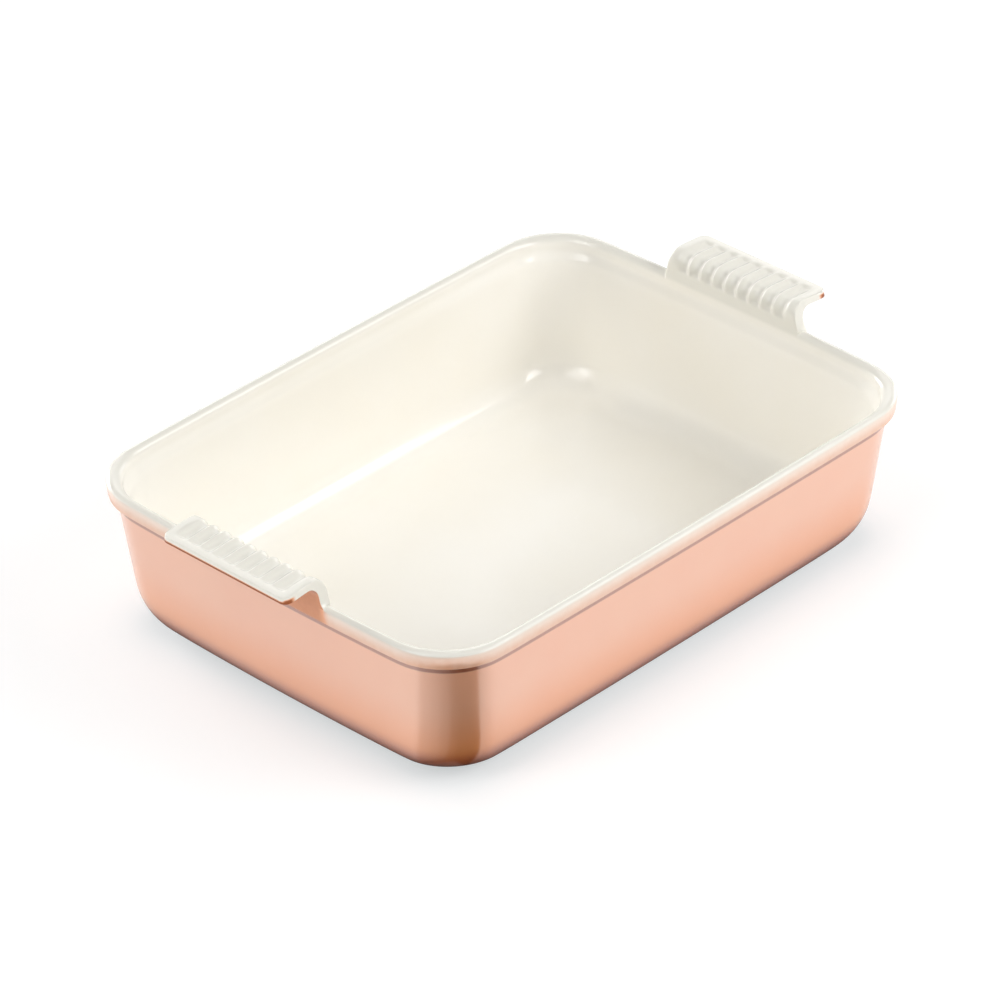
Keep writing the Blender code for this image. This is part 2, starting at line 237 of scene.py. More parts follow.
class HandleSizes(bpy.types.PropertyGroup):
    """Sizes of a lug handle, from the rim's outer edge and top."""

    width: length("Width", "Width over the ends, at the height of the top", 0.0780)
    reach: length("Reach", "How far the grip stands out past the rim", HANDLE_HIGH[0] - GLAZE_HIGH[0])
    rise: length("Rise", "Height of the grip above the rim", HANDLE_HIGH[2] - GLAZE_HIGH[2])
    droop: length("Droop", "How much lower the grip's top is at its tip", 0.0014)
    bend: length("Bend", "Radius of the bend from riser to grip, on its upper side", 0.0075)
    cove: length("Cove", "Radius of the hollow under the grip", 0.0050)
    riser_thickness: length("Riser thickness", "Thickness of the upright part", 0.0058)
    grip_thickness: length("Grip thickness", "Thickness of the grip", 0.0034)
    corner_radius: length("Corner radius", "Rounding of the grip's corners in plan", 0.0036)
    end_lean: angle("End lean", "Lean of the two ends away from upright", 14)
    root_fillet: length("Root fillet", "Radius where the ends run out on the rim", 0.0036)
    flutes: bpy.props.IntProperty(name="Flutes", description="Flutes across the grip", default=9, min=1)
    flute_pitch: length("Flute pitch", "Distance from flute to flute", 0.0077)
    flute_width: length("Flute width", "Width of a flute between its ridges", 0.0067)
    flute_depth: length("Flute depth", "Depth of a flute's cage below the ridges", 0.0019)
    flute_edge: length("Flute edge", "Width of a flute's sloping edge", 0.0018)


class GlazeColours(bpy.types.PropertyGroup):
    """Colours of the fired surfaces, as scene-linear values, and where they change."""

    cream: tint("Cream glaze", "Inside, rim and handles", (0.915, 0.89, 0.83))
    peach_light: tint("Light peach", "Outer wall below the band", (0.82, 0.395, 0.228))
    peach_deep: tint("Deep peach", "Outer wall at the rounded base", (0.84, 0.29, 0.085))
    # The greyer cream is painted shade: it darkens the rim's top and the lugs as if less light fell on them
    # from above
    cream_top_shade: tint(
        "Thin cream", "The greyer cream where the glaze runs thin, on the rim's top and the lugs",
        (0.795, 0.775, 0.705),
    )
    # The colour at the foot is painted shade, darkening the rounded base near the table
    foot_shade_peach: tint(
        "Peach at the foot", "Where the glaze thickens under the rounded base", (0.60, 0.15, 0.050),
    )
    # The dark brown is partly glaze pooled in the groove under the band and partly painted shade; on the
    # lugs it is painted shade only
    pool_and_shade: tint("Pooled glaze", "The thick bead of glaze in the groove under the band", (0.32, 0.09, 0.03))
    clay: tint("Bare clay", "The unglazed foot ring", (0.68, 0.58, 0.46))
    band_low_spray: fraction(
        "Spray at the band's foot", "Share of peach over the cream at the band's lower edge", 0.68,
    )
    band_high_spray: fraction(
        "Spray at the band's top", "Share of peach over the cream at the band's upper edge", 0.20,
    )
    corner_spray: fraction(
        "Spray at the corners", "Share of peach that the band's corners have on top of it", 0.25,
    )
    # Over 1 the peach under a lug turns towards the dark brown, as painted shade in the hollow
    lug_spray_and_shade: fraction(
        "Spray under the lugs", "Peach on the riser and the grip from below; over 1 it pools", 1.3, 2,
    )
    # The dark brown on the lower edge of a lug's tip is painted shade
    lug_edge_shade: fraction("Lug edge", "Share of a lug's edge, from below, that the pooled glaze covers", 0.36)
    lug_edge_shade_reach: length("Lug edge reach", "How far from a lug's tip its edge holds pooled glaze", 0.0065)
    # The bead's dark is partly pooled glaze and partly painted shade under the band's overhang
    bead: length("Bead height", "Height of the pooled glaze in the groove under the band", 0.0049)


class StudioSettings(bpy.types.PropertyGroup):
    """The camera and the floor."""

    distance: length("Camera distance", "From the aim point to the camera", 2.67264)
    azimuth: angle("Azimuth", "Camera's turn round the dish, from straight in front", -45.77)
    elevation: angle("Elevation", "Camera's height above the horizon", 32.623)
    roll: angle("Roll", "Camera's turn about its own view line", -1.015)
    lens: bpy.props.FloatProperty(
        name="Lens", description="Focal length on a sensor 36 mm wide", default=205.82,
    )
    aim_height: length("Aim height", "Height of the aim point before it is shifted", 0.035)
    aim_right: length("Aim right", "Shift of the aim point to the picture's right", -0.003153)
    aim_up: length("Aim up", "Shift of the aim point up the picture", 0.007034)
    floor_size: length("Floor size", "Side of the studio floor", 12.0)
    floor_colour: tint("Floor colour", "Colour of the white acrylic floor's surface", (0.455, 0.435, 0.43))
    floor_glow: tint(
        "Floor glow", "Light that the white acrylic floor passes from below", (0.56, 0.58, 0.585),
    )


def only(obj):
    """Selects this object and nothing else."""
    bpy.ops.object.select_all(action="DESELECT")
    obj.select_set(True)
    bpy.context.view_layer.objects.active = obj


def pick_faces(obj, wanted):
    """In edit mode, selects the faces that pass the test and nothing else. Returns how many."""
    shape = bmesh.from_edit_mesh(obj.data)
    bpy.ops.mesh.select_all(action="DESELECT")
    found = 0
    for face in shape.faces:
        if wanted(face):
            face.select_set(True)
            found += 1
    shape.select_flush_mode()
    bmesh.update_edit_mesh(obj.data)
    return found


def edit_layers(obj, *names):
    """In edit mode, the mesh and some of the layers of its points."""
    shape = bmesh.from_edit_mesh(obj.data)
    return [shape] + [shape.verts.layers.float[name] for name in names]


def mark_picked(obj, name, value):
    """In edit mode, writes a value to one of the layers of the selected points."""
    shape, layer = edit_layers(obj, name)
    for vert in shape.verts:
        if vert.select:
            vert[layer] = value


def wall_inset(dish, z):
    """The outer wall's inset from the rim's outer edge, at a height below the band."""
    return dish.band_overhang + (dish.rim_height - dish.band_height - z) * tan(dish.wall_lean)


def foot_inset(dish):
    """The inset of the foot ring's outer edge."""
    return wall_inset(dish, dish.foot_height + dish.base_fillet_up) + dish.base_fillet_across + FOOT_LEDGE


def arc(centre, radius, start, end, steps):
    """Points (inset, z) on an arc with both ends, for a cage that smoothing draws in."""
    step = (end - start) / steps
    cage_radius = radius * (1 + step * step / 6)
    angles = [start + step * k for k in range(steps + 1)]
    return [(centre[0] + cage_radius * cos(turn), centre[1] + cage_radius * sin(turn)) for turn in angles]


def inside_profile(dish):
    """Rings (inset, z) from the band's upper edge over the rim and down to the middle of the floor."""
    outer = (dish.rim_outer_radius, dish.rim_height - dish.rim_outer_radius)
    inner = (dish.rim_thickness - dish.rim_inner_radius, dish.rim_height - dish.rim_inner_radius)
    rings = arc(outer, dish.rim_outer_radius, pi, pi / 2, EDGE_STEPS)[1:]
    rings += arc(inner, dish.rim_inner_radius, pi / 2, 0, EDGE_STEPS)

    low_z = inner[1] - dish.flare_height
    low_inset = wall_inset(dish, low_z) + dish.wall_thickness
    for share in FLARE_SHARES:
        eased = (1 - cos(pi * share)) / 2
        straight = low_inset - dish.flare_height * share * tan(dish.wall_lean)
        inset = straight + (dish.rim_thickness - straight) * eased
        rings.append((inset, low_z + dish.flare_height * share))

    centre_z = dish.floor_top + dish.inside_fillet
    wall_z = centre_z - dish.inside_fillet * sin(dish.wall_lean)
    middle_z = (low_z + wall_z) / 2
    rings.append((wall_inset(dish, middle_z) + dish.wall_thickness, middle_z))
    wall_face = wall_inset(dish, wall_z) + dish.wall_thickness
    centre_inset = wall_face + dish.inside_fillet * cos(dish.wall_lean)
    centre = (centre_inset, centre_z)
    rings += arc(centre, dish.inside_fillet, pi + dish.wall_lean, 1.5 * pi, FILLET_STEPS)
    rings += [(centre_inset + further, dish.floor_top) for further in FLOOR_RINGS]
    return rings


def outside_profile(dish):
    """Rings (inset, z) from the band's lower edge, under it, down the wall and round the base."""
    band_bottom = dish.rim_height - dish.band_height
    lower = (dish.band_taper + dish.band_lower_radius, band_bottom + dish.band_lower_radius)
    rings = arc(lower, dish.band_lower_radius, pi, 1.5 * pi, EDGE_STEPS)[1:]
    tuck = dish.band_lower_radius / 2
    rings.append((dish.band_overhang - tuck, band_bottom))
    rings.append((dish.band_overhang, band_bottom))

    fillet_top = dish.foot_height + dish.base_fillet_up
    middle_z = (band_bottom + fillet_top) / 2
    for z in (band_bottom - tuck, band_bottom - BELOW_BAND, middle_z, fillet_top + ABOVE_FILLET):
        rings.append((wall_inset(dish, z), z))
    top_inset = wall_inset(dish, fillet_top)
    for k in range(FILLET_STEPS + 1):
        turn = pi / 2 * k / FILLET_STEPS
        lean = tan(dish.wall_lean) * dish.base_fillet_up * sin(turn) * cos(turn)
        across = dish.base_fillet_across * (1 - cos(turn)) + lean
        rings.append((top_inset + across, fillet_top - dish.base_fillet_up * sin(turn)))
    rings.append((foot_inset(dish), dish.foot_height))
    rings += [(dish.panel_margin + further, dish.foot_height) for further in PANEL_RINGS]
    return rings


def end_reach(handle, z):
    """How far from its middle a lug's end stands, at a height above the rim."""
    lean = handle.end_lean
    fillet_top = handle.root_fillet * (1 - sin(lean))
    straight = handle.width / 2 + (handle.rise - max(z, fillet_top)) * tan(lean)
    if z >= fillet_top:
        return straight
    foot = straight + handle.root_fillet * cos(lean)
    drop = handle.root_fillet - z
    return foot - (handle.root_fillet ** 2 - drop ** 2) ** 0.5


def flute_middles(handle):
    """Where each flute's middle lies along the lug."""
    return [handle.flute_pitch * (k - (handle.flutes - 1) / 2) for k in range(handle.flutes)]


def handle_columns(handle):
    """Cuts across a short side: both edges of each flute, then the lug's end and its run-out."""
    half = handle.flute_width / 2
    cuts = [middle + side * half for middle in flute_middles(handle) for side in (-1, 1)]
    last = max(cuts)
    foot = end_reach(handle, 0.0)
    base = end_reach(handle, LUG_FOOT)
    outer = [last + (base - last) * END_CUT, base] + [foot + further for further in RUN_OUT_CUTS]
    return sorted(cuts + outer + [-y for y in outer])


class DISH_OT_cast_body(bpy.types.Operator):
    """Draw the dish ring by ring from a block as thick as the rim band"""

    bl_idname = "dish.cast_body"
    bl_label = "Cast the body"

    def execute(self, context):
        dish = context.scene.dish_sizes
        band_low = dish.rim_height - dish.band_height + dish.band_lower_radius
        band_high = dish.rim_height - dish.rim_outer_radius
        bpy.ops.object.select_all(action="DESELECT")
        bpy.ops.mesh.primitive_cube_add(size=1, location=(0, 0, (band_low + band_high) / 2))
        body = context.object
        body.name = "dish_form"
        body.scale = (dish.rim_length, dish.rim_width, band_high - band_low)
        bpy.ops.object.transform_apply(location=True, rotation=False, scale=True)

        bpy.ops.object.mode_set(mode="EDIT")
        self.round_corners(body, dish)
        self.cut_columns(body, dish, context.scene.handle_sizes)
        self.bow_sides(body, dish)
        pick_faces(body, lambda face: face.normal.z < -FLAT)
        self.shrink(dish, 0.0, dish.band_taper)
        self.draw_rings(body, dish, outside_profile(dish), (dish.band_taper, band_low))
        pick_faces(body, lambda face: face.normal.z > FLAT and face.calc_center_median().z > band_low)
        self.draw_rings(body, dish, inside_profile(dish), (0.0, band_high))
        bpy.ops.object.mode_set(mode="OBJECT")
        return {"FINISHED"}

    def round_corners(self, body, dish):
        """Bevels the block's four upright edges."""
        bpy.ops.mesh.select_mode(type="EDGE")
        bpy.ops.mesh.select_all(action="DESELECT")
        shape = bmesh.from_edit_mesh(body.data)
        for edge in shape.edges:
            edge.select_set(abs(edge.verts[0].co.z - edge.verts[1].co.z) > SMALL)
        bpy.ops.mesh.bevel(offset=dish.corner_radius, segments=CORNER_SEGMENTS, affect="EDGES")
        bpy.ops.mesh.select_mode(type="FACE")

    def cut_columns(self, body, dish, handle):
        """Cuts the short sides at the lug's columns, and the long sides evenly."""
        for y in handle_columns(handle):
            pick_faces(body, lambda face: abs(face.normal.x) > FLAT)
            bpy.ops.mesh.bisect(plane_co=(0, y, 0), plane_no=(0, 1, 0))
        straight = dish.rim_length / 2 - dish.corner_radius
        for k in range(1, LONG_SIDE_CUTS + 1):
            x = straight * (2 * k / (LONG_SIDE_CUTS + 1) - 1)
            pick_faces(body, lambda face: abs(face.normal.y) > FLAT)
            bpy.ops.mesh.bisect(plane_co=(x, 0, 0), plane_no=(1, 0, 0))

    def bow_sides(self, body, dish):
        """Draws the corners in, which leaves the sides bowed, and adds the layer for the insets."""
        half_x, half_y = dish.rim_length / 2, dish.rim_width / 2
        shape = bmesh.from_edit_mesh(body.data)
        shape.verts.layers.float.new("inset")
        for vert in shape.verts:
            x, y = vert.co.xy
            vert.co.x -= dish.short_side_bow * (x / half_x) * (y / half_y) ** 2
            vert.co.y -= dish.long_side_bow * (y / half_y) * (x / half_x) ** 2

    def shrink(self, dish, before, after):
        """Brings the selected ring in from one inset to another."""
        across = (dish.rim_length - 2 * after) / (dish.rim_length - 2 * before)
        along = (dish.rim_width - 2 * after) / (dish.rim_width - 2 * before)
        bpy.ops.transform.resize(value=(across, along, 1), center_override=(0, 0, 0))

    def draw_rings(self, body, dish, rings, start):
        """Extrudes the selected end face through the rings, and marks each ring with its inset."""
        inset, z = start
        for next_inset, next_z in rings:
            step = {"value": (0, 0, next_z - z)}
            bpy.ops.mesh.extrude_region_move(TRANSFORM_OT_translate=step)
            self.shrink(dish, inset, next_inset)
            inset, z = next_inset, next_z
            mark_picked(body, "inset", inset)


class DISH_OT_pull_handles(bpy.types.Operator):
    """Pull a lug out of the rim on each short side and press the flutes into it"""

    bl_idname = "dish.pull_handles"
    bl_label = "Pull the handles"

    def execute(self, context):
        body = bpy.data.objects["dish_form"]
        dish, handle = context.scene.dish_sizes, context.scene.handle_sizes
        only(body)
        bpy.ops.object.mode_set(mode="EDIT")
        shape = bmesh.from_edit_mesh(body.data)
        for name in ("across", "along", "station"):
            shape.verts.layers.float.new(name)
        for side in (-1, 1):
            self.mark_root(body, dish, handle, side)
            for number, station in enumerate(self.stations(dish, handle), 1):
                bpy.ops.mesh.extrude_region()
                self.place(body, dish, handle, side, station)
                mark_picked(body, "station", number)
                bmesh.update_edit_mesh(body.data)
        self.press_flutes(body, handle)
        bpy.ops.object.mode_set(mode="OBJECT")
        return {"FINISHED"}

    def mark_root(self, body, dish, handle, side):
        """Selects the rim's top under the lug and marks each point's place across and along it."""
        base = end_reach(handle, LUG_FOOT) + SMALL
        low = dish.rim_height - max(dish.rim_inner_radius, dish.rim_outer_radius) - SMALL
        outer_x, inner_x = dish.rim_length / 2, dish.rim_length / 2 - dish.rim_thickness

        def on_rim(face):
            return all(
                vert.co.z > low and abs(vert.co.y) < base and side * vert.co.x > inner_x - ROOT_MARGIN
                for vert in face.verts
            )

        if not pick_faces(body, on_rim):
            raise RuntimeError("the rim has no faces under the handle")
        shape, across, along = edit_layers(body, "across", "along")
        columns = handle_columns(handle)
        for vert in shape.verts:
            if vert.select:
                bow = dish.short_side_bow * (vert.co.y / (dish.rim_width / 2)) ** 2
                share = (outer_x - bow - side * vert.co.x) / (outer_x - inner_x)
                vert[across] = min(max(share, 0.0), 1.0)
                drawn_in = 1 - 2 * share * dish.rim_thickness / dish.rim_width
                vert[along] = min(columns, key=lambda y: abs(y - vert.co.y / drawn_in))

    def grip_top(self, handle, inner, x):
        """The height of the grip's top, which slopes down from the bend to the tip."""
        start = inner + handle.bend
        return handle.rise - handle.droop * (x - start) / (handle.reach - start)

    def stations(self, dish, handle):
        """Upper and lower points (x, z) of the lug's side view, with how far its ends are drawn in."""
        inner = -dish.rim_thickness
        outer = inner + handle.riser_thickness
        made = [((inner, high), (outer * out, low), 0.0) for high, out, low in ROOT_RINGS]
        bend = (inner + handle.bend, handle.rise - handle.bend)
        cove_x = outer + handle.cove
        cove_z = self.grip_top(handle, inner, cove_x) - handle.grip_thickness - handle.cove
        upper = arc(bend, handle.bend, pi, pi / 2, BEND_STEPS)
        lower = arc((cove_x, cove_z), handle.cove, pi, pi / 2, BEND_STEPS)
        made += [(above, below, 0.0) for above, below in zip(upper, lower)]

        radius = handle.corner_radius
        centre = handle.reach - radius
        places = [(x, 0.0) for x in (*GRIP_RINGS, centre)]
        for share in TIP_SHARES:
            places.append((centre + radius * share, radius * (1 - (1 - share * share) ** 0.5)))
        for x, drawn in places:
            top = self.grip_top(handle, inner, x)
            made.append(((x, top), (x, top - handle.grip_thickness), drawn))
        return made

    def place(self, body, dish, handle, side, station):
        """Puts the ring that was just extruded at its station."""
        (upper_x, upper_z), (lower_x, lower_z), drawn = station
        shape, across, along = edit_layers(body, "across", "along")
        last_flute = max(flute_middles(handle)) + handle.flute_width / 2
        ring = [vert for vert in shape.verts if vert.select]
        end_column = max(abs(vert[along]) for vert in ring)
        for vert in ring:
            share = vert[across]
            z = lower_z + share * (upper_z - lower_z)
            x = lower_x + share * (upper_x - lower_x)
            end = end_reach(handle, max(z, LUG_FOOT)) - drawn
            y = abs(vert[along])
            if y > last_flute + SMALL:
                y = last_flute + (end - last_flute) * (y - last_flute) / (end_column - last_flute)
            if vert[along] <= 0:
                y = -y
            vert.co = (side * (dish.rim_length / 2 + x), y, dish.rim_height + z)

    def press_flutes(self, body, handle):
        """Insets and sinks each flute's strip of faces, from above the rim to short of the tip."""
        shape, across, station = edit_layers(body, "across", "station")
        first, last = FIRST_FLUTE_RING, LAST_FLUTE_RING
        middles = flute_middles(handle)

        def in_flute(face):
            if any(vert[across] < UPPER_SIDE or not first <= vert[station] <= last for vert in face.verts):
                return False
            place = face.calc_center_median().y
            return any(abs(place - middle) < handle.flute_width / 4 for middle in middles)

        if not pick_faces(body, in_flute):
            raise RuntimeError("the grip has no faces for its flutes")
        bpy.ops.mesh.inset(thickness=handle.flute_edge, depth=0)
        shape, station = edit_layers(body, "station")
        floor = [(vert, vert.normal.copy()) for vert in shape.verts if vert.select]
        for vert, outward in floor:
            steps = min(vert[station] - first, last - vert[station])
            middle = min(middles, key=lambda y: abs(y - vert.co.y))
            vert.co -= outward * handle.flute_depth * FLUTE_RUN_OUT[min(round(steps), 2)]
            vert.co.y = middle + (vert.co.y - middle) * (FLUTE_END_WIDTH if steps < 0.5 else 1.0)
        bmesh.update_edit_mesh(body.data)


def mark_zones(body, dish):
    """Gives each face of the cage the slot of the piece that it becomes."""
    for zone in ZONES:
        body.data.materials.append(bpy.data.materials.get(zone) or bpy.data.materials.new(zone))
    order = list(ZONES)
    shape = bmesh.new()
    shape.from_mesh(body.data)
    station = shape.verts.layers.float["station"]
    inset_layer = shape.verts.layers.float["inset"]
    band_bottom = dish.rim_height - dish.band_height
    foot_top = dish.foot_height + SMALL
    for face in shape.faces:
        centre = face.calc_center_median()
        highest = max(vert.co.z for vert in face.verts)
        inset = min(vert[inset_layer] for vert in face.verts)
        inside = face.normal.z > RISES or face.normal.dot(Vector((centre.x, centre.y, 0))) < 0
        if any(vert[station] > 0.5 for vert in face.verts):
            zone = "right_lug_handle" if centre.x > 0 else "left_lug_handle"
        elif highest > band_bottom + SMALL or inside and highest > foot_top:
            zone = "inside_glaze"
        elif highest > band_bottom - SMALL and face.normal.z < -FLAT:
            zone = "inside_glaze"
        elif highest > foot_top or face.normal.z > FALLS:
            zone = "outer_glaze_coat"
        elif inset > dish.panel_margin - SMALL:
            zone = "underside_glaze"
        elif inset > foot_inset(dish) - SMALL:
            zone = "foot_ring"
        else:
            zone = "outer_glaze_coat"
        face.material_index = order.index(zone)
    shape.to_mesh(body.data)
    shape.free()


def smooth_cage(obj, levels):
    """Subdivides the cage into the smooth form that it stands for."""
    smooth = obj.modifiers.new("smooth", "SUBSURF")
    smooth.levels = smooth.render_levels = levels
    bpy.ops.object.modifier_apply(modifier=smooth.name)


class DISH_OT_fire_clay(bpy.types.Operator):
    """Make the fired clay under the glazes, with the bare foot ring that it stands on"""

    bl_idname = "dish.fire_clay"
    bl_label = "Fire the clay"

    def execute(self, context):
        dish = context.scene.dish_sizes
        only(bpy.data.objects["dish_form"])
        bpy.ops.object.duplicate()
        clay = context.object
        clay.name = clay.data.name = "fired_clay"
        mark_zones(clay, dish)
        smooth_cage(clay, CLAY_SMOOTHING_LEVELS)

        bpy.ops.object.mode_set(mode="EDIT")
        bpy.ops.mesh.select_mode(type="FACE")
        bpy.ops.mesh.select_all(action="SELECT")
        under = dish.coat * CLAY_CLEARANCE
        bpy.ops.transform.shrink_fatten(value=-under)
        foot = list(ZONES).index("foot_ring")
        if not pick_faces(clay, lambda face: face.material_index == foot):
            raise RuntimeError("the underside has no faces for the foot ring")
        drop = {"value": (0, 0, -dish.foot_height - under)}
        bpy.ops.mesh.extrude_region_move(TRANSFORM_OT_translate=drop)
        bpy.ops.mesh.region_to_loop()
        bpy.ops.mesh.bevel(offset=dish.foot_edge, segments=2, affect="EDGES")
        bpy.ops.object.mode_set(mode="OBJECT")

        bpy.ops.object.shade_smooth_by_angle(angle=CRISP_ANGLE)
        clay.data.materials.clear()
        clay.data.materials.append(bare_clay(context.scene.glaze_colours))
        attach(clay, DISH_BODY)
        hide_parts("stoneware_body")
        return {"FINISHED"}


def ease(value, low, high):
    """A smooth step from 0 at low to 1 at high."""
    share = min(max((value - low) / (high - low), 0.0), 1.0)
    return share * share * (3 - 2 * share)


def spray_on_band(dish, colours, z, outward):
    """How much peach lies over the rim band, which has more at its foot and at its corners."""
    rise = ease((z - (dish.rim_height - dish.band_height)) / dish.band_height, 0, 1)
    spray = colours.band_low_spray + (colours.band_high_spray - colours.band_low_spray) * rise
    return spray + colours.corner_spray * min(abs(outward.x), abs(outward.y)) * 2 ** 0.5


def spray_on_lug(dish, handle, colours, x, normal, across, reached):
    """How much peach lies under a lug, past 1 adding painted shade in its hollow, and the painted shade on
    the lower edge of its tip.
    """
    painted_shade = 1 + LUG_CROWN_SHADE * ease(-normal.z, *CROWN)
    below = reached * colours.lug_spray_and_shade * painted_shade * (1 - ease(across, *UP_LUG))
    end = ease(abs(normal.y), *LOOKING_ALONG)
    low, high = (colours.lug_edge_shade * (fade + rise * end) for fade, rise in zip(EDGE_SHADE_FADE, END_FADE_RISE))
    # The lower edge near a lug's tip gets painted shade, full at 2
    edge = (1 - ease(across, low, high)) * (1 - ease(-normal.z, *LOOKING_DOWN))
    tip = dish.rim_length / 2 + handle.reach
    near_tip = ease(abs(x), tip - colours.lug_edge_shade_reach, tip - colours.lug_edge_shade_reach / 2)
    return max(below, 2 * edge * near_tip)


def sprayed(dish, handle, colours, point, normal, across):
    """How much peach lies over the cream at a point, sprayed on from outside and below; past 1 it adds
    painted shade, full at 2.
    """
    x, y, z = point
    core_x = dish.rim_length / 2 - dish.corner_radius
    core_y = dish.rim_width / 2 - dish.corner_radius
    outward = Vector((x - min(max(x, -core_x), core_x), y - min(max(y, -core_y), core_y), 0))
    if outward.length < SMALL:
        return 0.0
    outward.normalize()
    reached = ease(normal.dot(outward) - normal.z, *FACING_SPRAY)
    if z >= dish.rim_height:
        return spray_on_lug(dish, handle, colours, x, normal, across, reached)
    band = spray_on_band(dish, colours, z, outward)
    # Under a lug the band's share climbs past 1, which paints shade there in the dark brown
    past, gone = (handle.width / 2 + way for way in PAST_LUG)
    under_lug = 1 - ease(abs(y), past, gone) if abs(x) > core_x else 0.0
    return reached * (band + (colours.lug_spray_and_shade - band) * under_lug)


def add_spray(obj, dish, handle, colours):
    """Stores the share of peach at each vertex, with the painted shade past 1, for the glaze's material."""
    obj.data.attributes.new("spray", "FLOAT", "POINT")
    spray, across = (obj.data.attributes[name].data for name in ("spray", "across"))
    for vert, value, part in zip(obj.data.vertices, spray, across):
        value.value = sprayed(dish, handle, colours, vert.co, vert.normal, part.value)


class DISH_OT_part_glazes(bpy.types.Operator):
    """Smooth the dish and part it along its glaze lines"""

    bl_idname = "dish.part_glazes"
    bl_label = "Part the glazes"

    def execute(self, context):
        body = bpy.data.objects["dish_form"]
        dish = context.scene.dish_sizes
        mark_zones(body, dish)
        only(body)
        smooth_cage(body, SMOOTHING_LEVELS)
        bpy.ops.object.shade_smooth()
        bpy.ops.object.mode_set(mode="EDIT")
        bpy.ops.mesh.separate(type="MATERIAL")
        bpy.ops.object.mode_set(mode="OBJECT")
        for obj in list(context.selected_objects):
            zone = obj.data.materials[0].name
            if zone == "foot_ring":
                bpy.data.objects.remove(obj, do_unlink=True)
            else:
                self.finish(obj, zone, context.scene)
        return {"FINISHED"}

    def finish(self, obj, zone, scene):
        """Gives a parted coat its thickness, its material and its place in the frame."""
        dish, colours = scene.dish_sizes, scene.glaze_colours
        node, slot, make = ZONES[zone]
        obj.name = obj.data.name = zone
        if slot == "cream_glaze":
            add_spray(obj, dish, scene.handle_sizes, colours)
        only(obj)
        coat = obj.modifiers.new("coat", "SOLIDIFY")
        coat.thickness = dish.coat
        coat.offset = -1
        bpy.ops.object.modifier_apply(modifier=coat.name)
        bpy.ops.object.shade_smooth_by_angle(angle=CRISP_ANGLE)
        obj.data.materials.clear()
        obj.data.materials.append(make(dish, colours))
        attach(obj, DISH_BODY)
        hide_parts(node)


class Finish:
    """A material in the making: its shader and the nodes that give it colour, gloss and relief."""

    def __init__(self, name, sockets):
        self.material = bpy.data.materials.new(name)
        self.material.use_nodes = True
        self.tree = self.material.node_tree
        self.shader = self.tree.nodes["Principled BSDF"]
        self.connect(self.shader, sockets)

    def connect(self, node, sockets):
        """Gives each of a node's sockets its value, or links it to another node's output."""
        for key, value in sockets.items():
            if isinstance(value, bpy.types.NodeSocket):
                self.tree.links.new(value, node.inputs[key])
            else:
                node.inputs[key].default_value = value

    def node(self, kind, sockets, **settings):
        """Adds a node with its settings and sockets."""
        added = self.tree.nodes.new(kind)
        for key, value in settings.items():
            setattr(added, key, value)
        self.connect(added, sockets)
        return added

    def feed(self, socket, output):
        """Links an output to one of the shader's sockets."""
        self.connect(self.shader, {socket: output})

    def place(self):
        """Each point's place on the object."""
        return self.node("ShaderNodeTexCoord", {}).outputs["Object"]

    def attribute(self, name):
        """A value that the mesh stores at its points."""
        return self.node("ShaderNodeAttribute", {}, attribute_name=name).outputs["Fac"]

    def math(self, operation, first, second, clamp=False):
        """One step of arithmetic on two values or outputs."""
        sockets = {0: first, 1: second}
        return self.node("ShaderNodeMath", sockets, operation=operation, use_clamp=clamp).outputs["Value"]

    def spread(self, value, span, wanted, **settings):
        """Stretches one span of values to another."""
        sockets = {"Value": value, "From Min": span[0], "From Max": span[1]}
        sockets.update({"To Min": wanted[0], "To Max": wanted[1]})
        return self.node("ShaderNodeMapRange", sockets, **settings).outputs["Result"]

    def clouds(self, scale, detail):
        """Soft clouds that keep their place on the object."""
        sockets = {"Vector": self.place(), "Scale": scale, "Detail": detail}
        return self.node("ShaderNodeTexNoise", sockets).outputs["Fac"]

    def noise(self, scale, detail, low=0.0, high=1.0):
        """The clouds, spread between two values."""
        return self.spread(self.clouds(scale, detail), CLOUDS, (low, high))

    def height_share(self, low, high):
        """0 at one height above the table and 1 at another."""
        height = self.node("ShaderNodeSeparateXYZ", {"Vector": self.place()}).outputs["Z"]
        return self.spread(height, (low, high), (0.0, 1.0), interpolation_type="SMOOTHSTEP")

    def blend(self, share, first, second):
        """Mixes two colours, each a value or an output, by a share."""
        sockets = {"Factor": share}
        for key, colour in (("A", first), ("B", second)):
            sockets[key] = colour if isinstance(colour, bpy.types.NodeSocket) else (*colour, 1)
        return self.node("ShaderNodeMix", sockets, data_type="RGBA").outputs["Result"]

    def vary(self, colour, shade, scale, detail):
        """A colour that clouds turn towards a shade of it."""
        shaded = [value * part for value, part in zip(colour, shade)]
        return self.blend(self.noise(scale, detail), colour, shaded)

    def ripple(self, scale, depth):
        """The faint unevenness that fired glaze keeps from running."""
        sockets = {"Strength": 1.0, "Distance": depth, "Height": self.clouds(scale, 1.0)}
        self.feed("Normal", self.node("ShaderNodeBump", sockets).outputs["Normal"])


